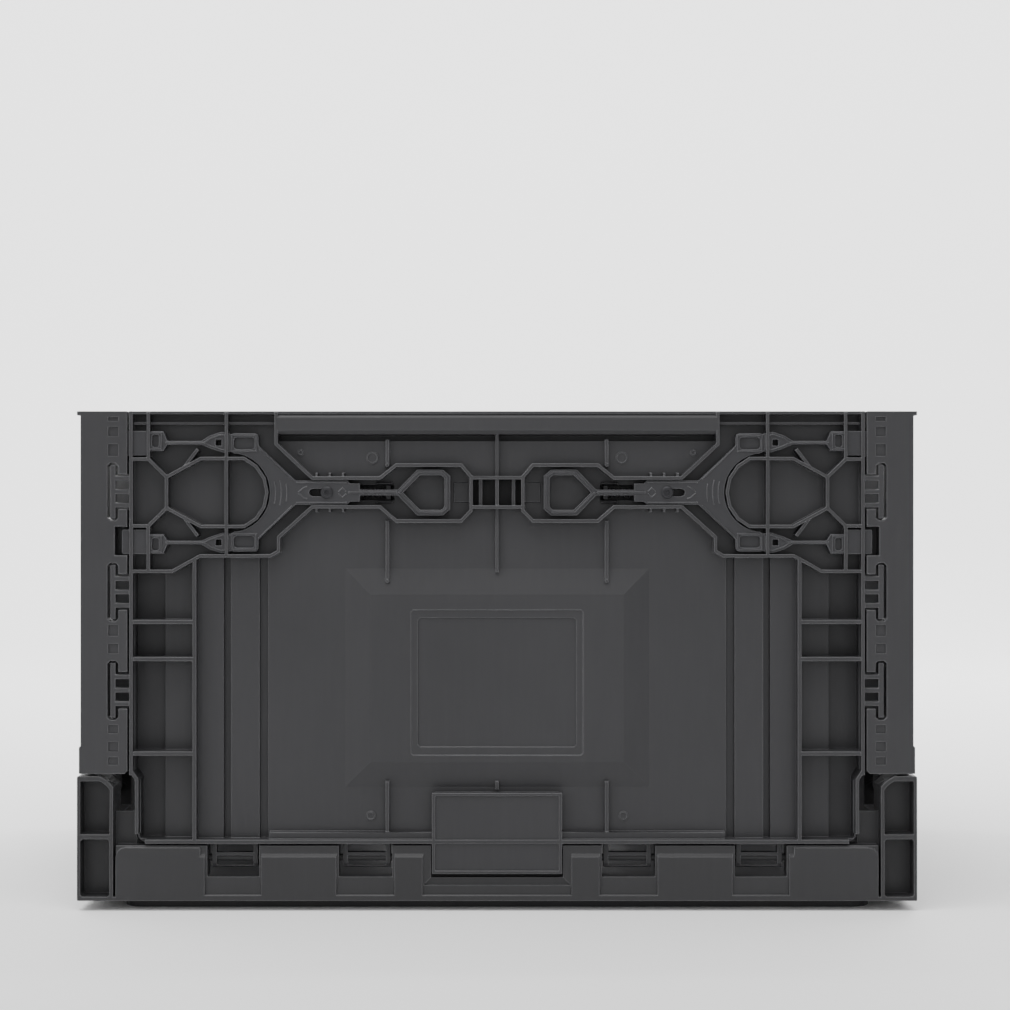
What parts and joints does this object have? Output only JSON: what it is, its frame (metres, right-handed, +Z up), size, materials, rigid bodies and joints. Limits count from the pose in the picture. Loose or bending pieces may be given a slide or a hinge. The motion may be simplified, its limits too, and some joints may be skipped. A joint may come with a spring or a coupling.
{
  "type": "collapsible storage crate",
  "caption": "Collapsible plastic crate: base tray, folding long walls with sliding latches, end walls with hand holes.",
  "frame": {"origin": "under the middle of the foot, on the floor", "axes": "+X along the long side to the right, +Y to the back, +Z up"},
  "size_m": [0.6, 0.4, 0.357],
  "materials": {
    "wall_plastic": "fine moulded grain, satin, charcoal grey",
    "base_plastic": "fine moulded grain, satin, charcoal grey",
    "latch_plastic": "smooth satin, charcoal grey",
    "spring_steel": "drawn wire",
    "screw_steel": "dark plated",
    "pin_plastic": "smooth black plastic rod"
  },
  "bodies": {
    "base": {"base_tray": "base_plastic", "left_end_wall": "wall_plastic", "right_end_wall": "wall_plastic", "left_end_hinge_rod": "pin_plastic", "right_end_hinge_rod": "pin_plastic", "front_left_outer_hinge_pin": "pin_plastic", "front_left_inner_hinge_pin": "pin_plastic", "front_right_outer_hinge_pin": "pin_plastic", "front_right_inner_hinge_pin": "pin_plastic", "back_left_outer_hinge_pin": "pin_plastic", "back_left_inner_hinge_pin": "pin_plastic", "back_right_outer_hinge_pin": "pin_plastic", "back_right_inner_hinge_pin": "pin_plastic"},
    "front_wall": {"front_long_wall": "wall_plastic", "front_left_latch_screw": "screw_steel", "front_left_latch_spring": "spring_steel", "front_right_latch_screw": "screw_steel", "front_right_latch_spring": "spring_steel"},
    "front_left_latch": {"front_left_latch": "latch_plastic"},
    "front_right_latch": {"front_right_latch": "latch_plastic"},
    "back_wall": {"back_long_wall": "wall_plastic", "back_left_latch_screw": "screw_steel", "back_left_latch_spring": "spring_steel", "back_right_latch_screw": "screw_steel", "back_right_latch_spring": "spring_steel"},
    "back_left_latch": {"back_left_latch": "latch_plastic"},
    "back_right_latch": {"back_right_latch": "latch_plastic"}
  },
  "joints": [
    {"name": "front_wall_fold", "type": "hinge", "parent": "base", "child": "front_wall", "pos_m": [0, -0.188, 0.0367], "axis": [-1, 0, 0], "range_deg": [0, 93.8]},
    {"name": "back_wall_fold", "type": "hinge", "parent": "base", "child": "back_wall", "pos_m": [0, 0.188, 0.0367], "axis": [1, 0, 0], "range_deg": [0, 86.2]},
    {"name": "front_left_latch_slide", "type": "slide", "parent": "front_wall", "child": "front_left_latch", "axis": [1, 0, 0], "range_m": [0, 0.01], "stiffness_N_per_m": 400, "springref_m": -0.004, "deforming": ["front_left_latch_spring"]},
    {"name": "front_right_latch_slide", "type": "slide", "parent": "front_wall", "child": "front_right_latch", "axis": [-1, 0, 0], "range_m": [0, 0.01], "stiffness_N_per_m": 400, "springref_m": -0.004, "deforming": ["front_right_latch_spring"]},
    {"name": "back_left_latch_slide", "type": "slide", "parent": "back_wall", "child": "back_left_latch", "axis": [1, 0, 0], "range_m": [0, 0.01], "stiffness_N_per_m": 400, "springref_m": -0.004, "deforming": ["back_left_latch_spring"]},
    {"name": "back_right_latch_slide", "type": "slide", "parent": "back_wall", "child": "back_right_latch", "axis": [-1, 0, 0], "range_m": [0, 0.01], "stiffness_N_per_m": 400, "springref_m": -0.004, "deforming": ["back_right_latch_spring"]}
  ]
}
